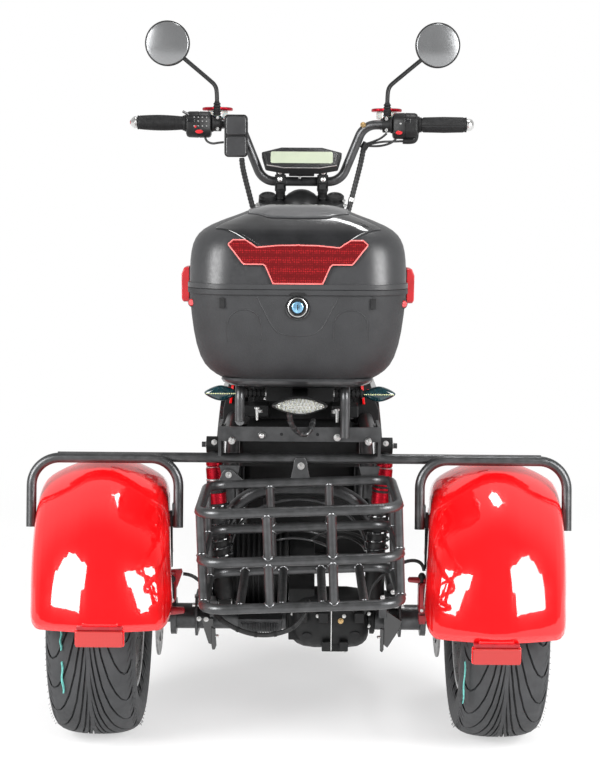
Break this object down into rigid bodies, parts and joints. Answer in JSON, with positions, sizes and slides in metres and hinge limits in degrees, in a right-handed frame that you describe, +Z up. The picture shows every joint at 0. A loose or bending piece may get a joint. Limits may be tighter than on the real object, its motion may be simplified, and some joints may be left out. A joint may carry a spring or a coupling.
{
  "type": "three-wheeled electric scooter",
  "caption": "Electric trike with a long saddle, wide handlebar, red rear fenders, wire basket and lidded top box.",
  "frame": {"origin": "on the floor under the middle of the whole trike", "axes": "+Y forwards, +X to the rider's right, +Z up"},
  "size_m": [0.98, 1.8654, 1.3964],
  "materials": {
    "red_paint": "high gloss",
    "black_tube": "satin powder coat",
    "cast_black": "painted casting",
    "red_anodised": "anodised",
    "red_lens": "prismatic",
    "clear_lens": "clear",
    "teal_lens": "glossy smoked",
    "black_plastic": "moulded",
    "gloss_black": "high gloss",
    "grained_plastic": "fine grain",
    "red_clip": "semi gloss",
    "saddle": "stitched vinyl",
    "rubber": "matt",
    "tyre": "matt",
    "alloy": "machined and lacquered",
    "steel": "brushed",
    "mirror_face": "flat mirror",
    "screen": "liquid crystal window"
  },
  "bodies": {
    "frame": {"main_frame": "black_tube", "head_tube": "black_tube", "swing_frame": "black_tube", "rear_axle": "black_tube", "differential": "cast_black", "motor": "cast_black", "rear_shocks": "red_anodised", "brake_calipers": "red_anodised", "fender_left": "red_paint", "fender_right": "red_paint", "fender_reflectors": "red_lens", "guard_bar": "black_tube", "basket": "black_tube", "rear_crossplate": "black_tube", "motor_hoop": "black_tube", "controller_case": "black_plastic", "battery_box": "black_plastic", "side_covers": "gloss_black", "deck": "black_plastic", "front_panel": "gloss_black", "driver_seat": "saddle", "passenger_seat": "saddle", "seat_pan": "black_plastic", "rear_rack": "black_tube", "box_tub": "grained_plastic", "box_lock": "steel", "box_clips": "red_clip", "tail_lamp": "clear_lens", "rear_turn_signals": "teal_lens", "rear_cables": "rubber"},
    "box_lid": {"box_lid": "grained_plastic", "box_reflector": "red_lens"},
    "steering": {"fork_yokes": "black_tube", "fork_legs": "black_tube", "handlebar": "black_tube", "grips": "rubber", "switch_housings": "black_plastic", "brake_levers": "black_plastic", "master_cylinders": "red_anodised", "mirrors": "black_plastic", "mirror_glass": "mirror_face", "dash_housing": "black_plastic", "dash_screen": "screen", "control_box": "grained_plastic", "control_cables": "rubber", "headlight": "gloss_black", "front_turn_signals": "teal_lens", "front_fender": "red_paint", "front_caliper": "red_anodised"},
    "front_wheel": {"front_tyre": "tyre", "front_rim": "alloy", "front_disc": "steel"},
    "rear_wheel_left": {"rear_left_tyre": "tyre", "rear_left_rim": "alloy", "rear_left_disc": "steel"},
    "rear_wheel_right": {"rear_right_tyre": "tyre", "rear_right_rim": "alloy", "rear_right_disc": "steel"}
  },
  "joints": [
    {"name": "steer", "type": "hinge", "parent": "frame", "child": "steering", "pos_m": [0, 0.39706, 0.86], "axis": [0, -0.4067, 0.9135], "range_deg": [-38, 38]},
    {"name": "front_spin", "type": "hinge", "parent": "steering", "child": "front_wheel", "pos_m": [0, 0.71575, 0.217], "axis": [1, 0, 0], "continuous": true},
    {"name": "rear_left_spin", "type": "hinge", "parent": "frame", "child": "rear_wheel_left", "pos_m": [-0.362, -0.57425, 0.217], "axis": [1, 0, 0], "continuous": true},
    {"name": "rear_right_spin", "type": "hinge", "parent": "frame", "child": "rear_wheel_right", "pos_m": [0.362, -0.57425, 0.217], "axis": [1, 0, 0], "continuous": true},
    {"name": "lid", "type": "hinge", "parent": "frame", "child": "box_lid", "pos_m": [0, -0.36825, 0.838], "axis": [-1, 0, 0], "range_deg": [0, 85]}
  ]
}
